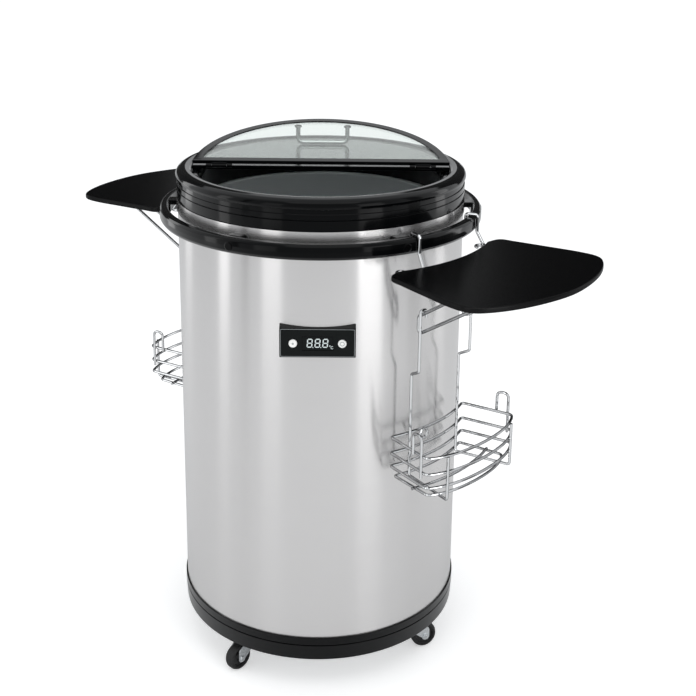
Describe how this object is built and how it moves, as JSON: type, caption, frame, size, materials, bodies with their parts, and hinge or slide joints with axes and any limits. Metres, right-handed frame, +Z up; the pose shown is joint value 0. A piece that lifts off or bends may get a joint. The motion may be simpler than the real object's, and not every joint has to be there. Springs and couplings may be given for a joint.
{
  "type": "drinks cooler",
  "caption": "Round upright drinks cooler on castors: brushed steel barrel, folding glass lid, display panel, trays hung on a rail and wire bottle baskets.",
  "frame": {"origin": "on the ground below the barrel's axis, which is also the middle of the object's box", "axes": "+Z up along the barrel's axis, -Y out through the display panel, +X to the right as the display is read"},
  "size_m": [0.777, 0.7514, 0.7874],
  "materials": {
    "steel": "satin",
    "chrome_wire": "polished",
    "zinc": "satin",
    "gloss_black": "gloss",
    "satin_black": "satin",
    "grey_liner": "satin",
    "foam": "matte",
    "clear_glass": "gloss",
    "dark_window": "gloss",
    "white_plastic": "satin",
    "rubber": "matte",
    "wheel_plastic": "matte",
    "painted_steel": "satin"
  },
  "bodies": {
    "cabinet": {"steel_shell": "steel", "base_ring": "gloss_black", "base_plate": "zinc", "bracket_band": "gloss_black", "rail": "gloss_black", "collar": "gloss_black", "liner": "grey_liner", "insulation": "foam", "compressor": "painted_steel", "display_housing": "gloss_black", "display_window": "dark_window", "vent_grille": "satin_black", "cord_gland": "rubber", "drain_spout": "satin_black", "castor_cap_front_right": "zinc", "castor_cap_rear_right": "zinc", "castor_cap_rear_left": "zinc", "castor_cap_front_left": "zinc", "lid_bar": "gloss_black", "hinge_pin_left": "zinc", "hinge_pin_right": "zinc", "rear_lid_frame": "gloss_black", "rear_lid_glass": "clear_glass"},
    "front_lid": {"front_lid_frame": "gloss_black", "front_lid_glass": "clear_glass", "lid_handle": "chrome_wire"},
    "left_button": {"button_left": "white_plastic"},
    "right_button": {"button_right": "white_plastic"},
    "cap": {"drain_cap": "rubber"},
    "tray_right_set": {"tray_right": "satin_black", "tray_bracket_right": "chrome_wire"},
    "basket_right_set": {"basket_right": "chrome_wire"},
    "tray_left_set": {"tray_left": "satin_black", "tray_bracket_left": "chrome_wire"},
    "basket_left_set": {"basket_left": "chrome_wire"},
    "fork_front_right": {"castor_fork_front_right": "zinc"},
    "wheel_front_right": {"castor_wheel_front_right": "wheel_plastic"},
    "fork_rear_right": {"castor_fork_rear_right": "zinc"},
    "wheel_rear_right": {"castor_wheel_rear_right": "wheel_plastic"},
    "fork_rear_left": {"castor_fork_rear_left": "zinc"},
    "wheel_rear_left": {"castor_wheel_rear_left": "wheel_plastic"},
    "fork_front_left": {"castor_fork_front_left": "zinc"},
    "wheel_front_left": {"castor_wheel_front_left": "wheel_plastic"}
  },
  "joints": [
    {"name": "lid_fold", "type": "hinge", "parent": "cabinet", "child": "front_lid", "pos_m": [0, -0.0155, 0.748], "axis": [1, 0, 0], "range_deg": [0, 169.18]},
    {"name": "left_button_press", "type": "slide", "parent": "cabinet", "child": "left_button", "axis": [0, 1, 0], "range_m": [0, 0.0012], "stiffness_N_per_m": 300},
    {"name": "right_button_press", "type": "slide", "parent": "cabinet", "child": "right_button", "axis": [0, 1, 0], "range_m": [0, 0.0012], "stiffness_N_per_m": 300},
    {"name": "drain_cap_pull", "type": "slide", "parent": "cabinet", "child": "cap", "axis": [-0.5299, 0.848, 0], "range_m": [0, 0.02]},
    {"name": "tray_right_lift", "type": "slide", "parent": "cabinet", "child": "tray_right_set", "axis": [0, 0, 1], "range_m": [0, 0.03]},
    {"name": "basket_right_lift", "type": "slide", "parent": "tray_right_set", "child": "basket_right_set", "axis": [0, 0, 1], "range_m": [0, 0.012]},
    {"name": "tray_left_lift", "type": "slide", "parent": "cabinet", "child": "tray_left_set", "axis": [0, 0, 1], "range_m": [0, 0.03]},
    {"name": "basket_left_lift", "type": "slide", "parent": "tray_left_set", "child": "basket_left_set", "axis": [0, 0, 1], "range_m": [0, 0.012]},
    {"name": "swivel_front_right", "type": "hinge", "parent": "cabinet", "child": "fork_front_right", "pos_m": [0.14562, -0.1058, 0.048], "axis": [0, 0, 1], "continuous": true},
    {"name": "roll_front_right", "type": "hinge", "parent": "fork_front_right", "child": "wheel_front_right", "pos_m": [0.16417, -0.09831, 0.02], "axis": [-0.3746, 0.9272, 0], "continuous": true},
    {"name": "swivel_rear_right", "type": "hinge", "parent": "cabinet", "child": "fork_rear_right", "pos_m": [0.1058, 0.14562, 0.048], "axis": [0, 0, 1], "continuous": true},
    {"name": "roll_rear_right", "type": "hinge", "parent": "fork_rear_right", "child": "wheel_rear_right", "pos_m": [0.12156, 0.15794, 0.02], "axis": [-0.6157, 0.788, 0], "continuous": true},
    {"name": "swivel_rear_left", "type": "hinge", "parent": "cabinet", "child": "fork_rear_left", "pos_m": [-0.14562, 0.1058, 0.048], "axis": [0, 0, 1], "continuous": true},
    {"name": "roll_rear_left", "type": "hinge", "parent": "fork_rear_left", "child": "wheel_rear_left", "pos_m": [-0.16328, 0.11519, 0.02], "axis": [-0.4695, -0.8829, 0], "continuous": true},
    {"name": "swivel_front_left", "type": "hinge", "parent": "cabinet", "child": "fork_front_left", "pos_m": [-0.1058, -0.14562, 0.048], "axis": [0, 0, 1], "continuous": true},
    {"name": "roll_front_left", "type": "hinge", "parent": "fork_front_left", "child": "wheel_front_left", "pos_m": [-0.11994, -0.15976, 0.02], "axis": [0.7071, -0.7071, 0], "continuous": true}
  ]
}
